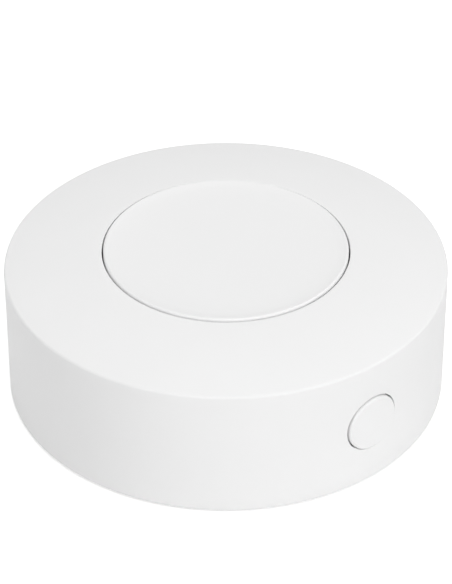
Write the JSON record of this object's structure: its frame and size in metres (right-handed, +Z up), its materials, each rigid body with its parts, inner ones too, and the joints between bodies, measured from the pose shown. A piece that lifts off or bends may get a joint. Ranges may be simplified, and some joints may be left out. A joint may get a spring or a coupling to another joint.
{
  "type": "smart button",
  "caption": "Round white smart button: a low matt puck with a wide push cap in its domed top, a small round button in its side wall and a twist-off battery door underneath",
  "frame": {"origin": "on the surface the puck stands on, under the centre of the puck", "axes": "+Z up along the push cap's axis; the side button faces -Y; +X to the right seen from the side button"},
  "size_m": [0.05, 0.0502, 0.0179],
  "materials": {
    "housing_white": "fine matt moulded white",
    "button_white": "fine matt moulded white",
    "grip_rubber": "soft pale grey",
    "bracket_plastic": "natural moulded plastic",
    "spring_steel": "bright spring wire",
    "board_green": "green solder mask",
    "module_green": "dark green solder mask",
    "switch_black": "black moulded plastic",
    "switch_steel": "tinned sheet",
    "contact_metal": "gold-plated strip",
    "chip_ceramic": "fired chip body",
    "led_lens": "clear cast lens",
    "capacitor_yellow": "moulded tantalum case",
    "cell_steel": "nickel-plated",
    "seal_rubber": "moulded seal",
    "cell_core": "pressed electrode mass",
    "screw_steel": "zinc-plated"
  },
  "bodies": {
    "housing": {"top_housing": "housing_white", "base_plate": "housing_white", "grip_ring": "grip_rubber", "button_bracket": "bracket_plastic", "circuit_board": "board_green", "main_switch_base": "switch_black", "side_switch_base": "switch_black", "main_switch_cover": "switch_steel", "side_switch_cover": "switch_steel", "main_switch_pins": "contact_metal", "side_switch_pins": "contact_metal", "radio_module_board": "module_green", "radio_shield_can": "switch_steel", "radio_chip": "switch_black", "chip_antenna": "chip_ceramic", "crystal_can": "switch_steel", "status_led": "led_lens", "chip_parts": "chip_ceramic", "reservoir_capacitor": "capacitor_yellow", "battery_holder": "switch_black", "battery_side_clips": "contact_metal", "battery_spring_contact": "contact_metal", "coin_cell_can": "cell_steel", "coin_cell_cap": "cell_steel", "coin_cell_seal": "seal_rubber", "coin_cell_core": "cell_core", "board_screws": "screw_steel", "base_screws": "screw_steel", "return_springs": "spring_steel", "main_switch_dome": "spring_steel"},
    "main_button": {"main_button_cap": "button_white"},
    "main_stem": {"main_switch_stem": "switch_black"},
    "side_button": {"side_button_cap": "button_white"},
    "side_stem": {"side_switch_stem": "switch_black"},
    "door": {"battery_door": "housing_white"}
  },
  "joints": [
    {"name": "main_button_press", "type": "slide", "parent": "housing", "child": "main_button", "axis": [0, 0, -1], "range_m": [0, 0.0006], "stiffness_N_per_m": 1500, "springref_m": -0.0006, "deforming": ["return_springs"]},
    {"name": "main_switch_travel", "type": "slide", "parent": "housing", "child": "main_stem", "axis": [0, 0, -1], "range_m": [0, 0.0006], "deforming": ["main_switch_dome"]},
    {"name": "side_button_press", "type": "slide", "parent": "housing", "child": "side_button", "axis": [0, 1, 0], "range_m": [0, 0.0003], "stiffness_N_per_m": 1500, "springref_m": -0.0003},
    {"name": "side_switch_travel", "type": "slide", "parent": "housing", "child": "side_stem", "axis": [0, 1, 0], "range_m": [0, 0.0003]},
    {"name": "battery_door_twist", "type": "hinge", "parent": "housing", "child": "door", "pos_m": [0, 0, 0.001], "axis": [0, 0, -1], "range_deg": [0, 45]}
  ],
  "couplings": [
    {"joint": "main_switch_travel", "follows": "main_button_press", "ratio": 1},
    {"joint": "side_switch_travel", "follows": "side_button_press", "ratio": 1}
  ]
}
